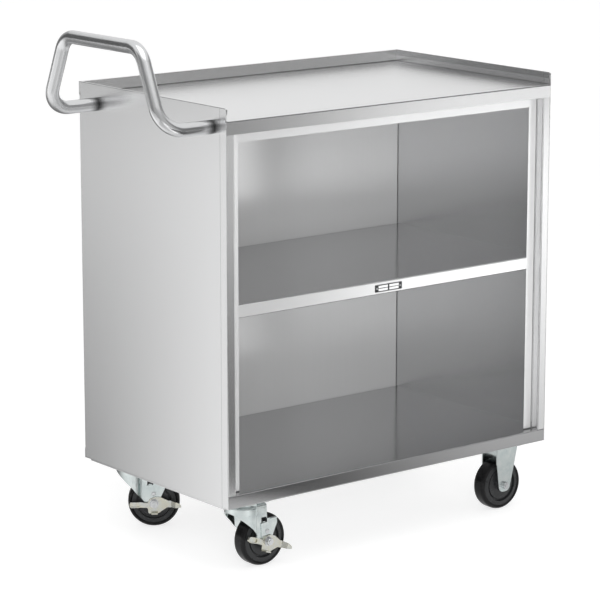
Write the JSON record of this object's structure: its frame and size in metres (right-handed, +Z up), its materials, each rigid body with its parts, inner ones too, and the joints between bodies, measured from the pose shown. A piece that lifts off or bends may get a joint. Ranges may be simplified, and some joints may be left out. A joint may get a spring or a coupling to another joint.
{
  "type": "utility cart",
  "caption": "Stainless sheet utility cart with railed top deck, shelves in an open front, bent tube end handle and braked swivel and rigid casters.",
  "frame": {"origin": "on the floor, at the middle of the outline of the whole cart with its handle", "axes": "+Z up from the floor, -Y towards the open front, -X towards the handle end"},
  "size_m": [0.9126, 0.466, 0.9977],
  "materials": {
    "body_steel": "fine brushed stainless sheet",
    "handle_steel": "polished stainless tube",
    "fastener_steel": "plain steel",
    "name_plate": "satin",
    "zinc_plate": "bright zinc plated steel",
    "zinc_yellow": "zinc plated steel, slightly yellow",
    "acetal": "white acetal",
    "wheel_core": "dark grey moulded plastic",
    "tyre": "black rubber"
  },
  "bodies": {
    "cart": {"left_side_panel": "body_steel", "right_side_panel": "body_steel", "back_panel": "body_steel", "top_deck": "body_steel", "middle_shelf": "body_steel", "bottom_shelf": "body_steel", "shelf_stiffeners": "body_steel", "bottom_stiffener": "body_steel", "caster_channels": "body_steel", "handle_tube": "handle_steel", "handle_plugs": "fastener_steel", "handle_bolts": "fastener_steel", "handle_washers": "fastener_steel", "name_plate": "name_plate", "name_plate_rivets": "fastener_steel", "caster_mount_bolts": "zinc_plate", "caster_mount_nuts": "zinc_plate", "swivel_top_plates": "zinc_plate", "kingpins": "zinc_plate", "rigid_top_plates": "zinc_plate", "rigid_forks": "zinc_plate", "rigid_axle_bolts": "zinc_plate", "rigid_axle_nuts": "zinc_plate", "rigid_axle_sleeves": "zinc_plate"},
    "left_front_swivel": {"left_front_fork": "zinc_plate", "left_front_thrust_washer": "acetal", "left_front_brake_plate": "zinc_plate", "left_front_brake_rivet": "zinc_plate", "left_front_axle_bolt": "zinc_plate", "left_front_axle_nut": "zinc_plate", "left_front_axle_sleeve": "zinc_plate"},
    "left_front_brake": {"left_front_brake_lever": "zinc_yellow"},
    "left_front_wheel": {"left_front_wheel_core": "wheel_core", "left_front_tyre": "tyre", "left_front_wheel_bearing": "acetal"},
    "left_rear_swivel": {"left_rear_fork": "zinc_plate", "left_rear_thrust_washer": "acetal", "left_rear_brake_plate": "zinc_plate", "left_rear_brake_rivet": "zinc_plate", "left_rear_axle_bolt": "zinc_plate", "left_rear_axle_nut": "zinc_plate", "left_rear_axle_sleeve": "zinc_plate"},
    "left_rear_brake": {"left_rear_brake_lever": "zinc_yellow"},
    "left_rear_wheel": {"left_rear_wheel_core": "wheel_core", "left_rear_tyre": "tyre", "left_rear_wheel_bearing": "acetal"},
    "right_front_wheel": {"right_front_wheel_core": "wheel_core", "right_front_tyre": "tyre", "right_front_wheel_bearing": "acetal"},
    "right_rear_wheel": {"right_rear_wheel_core": "wheel_core", "right_rear_tyre": "tyre", "right_rear_wheel_bearing": "acetal"}
  },
  "joints": [
    {"name": "left_front_swivel_turn", "type": "hinge", "parent": "cart", "child": "left_front_swivel", "pos_m": [-0.25715, -0.176, 0.12], "axis": [0, 0, 1], "continuous": true},
    {"name": "left_front_wheel_spin", "type": "hinge", "parent": "left_front_swivel", "child": "left_front_wheel", "pos_m": [-0.22015, -0.176, 0.0508], "axis": [0, 1, 0], "continuous": true},
    {"name": "left_front_brake_rock", "type": "hinge", "parent": "left_front_swivel", "child": "left_front_brake", "pos_m": [-0.22015, -0.176, 0.0508], "axis": [0, 1, 0], "range_deg": [-18, 0]},
    {"name": "left_rear_swivel_turn", "type": "hinge", "parent": "cart", "child": "left_rear_swivel", "pos_m": [-0.25715, 0.176, 0.12], "axis": [0, 0, 1], "continuous": true},
    {"name": "left_rear_wheel_spin", "type": "hinge", "parent": "left_rear_swivel", "child": "left_rear_wheel", "pos_m": [-0.22722, 0.15425, 0.0508], "axis": [0.5878, 0.809, 0], "continuous": true},
    {"name": "left_rear_brake_rock", "type": "hinge", "parent": "left_rear_swivel", "child": "left_rear_brake", "pos_m": [-0.22722, 0.15425, 0.0508], "axis": [0.5878, 0.809, 0], "range_deg": [0, 18]},
    {"name": "right_front_wheel_spin", "type": "hinge", "parent": "cart", "child": "right_front_wheel", "pos_m": [0.38135, -0.176, 0.0508], "axis": [0, 1, 0], "continuous": true},
    {"name": "right_rear_wheel_spin", "type": "hinge", "parent": "cart", "child": "right_rear_wheel", "pos_m": [0.38135, 0.176, 0.0508], "axis": [0, 1, 0], "continuous": true}
  ]
}
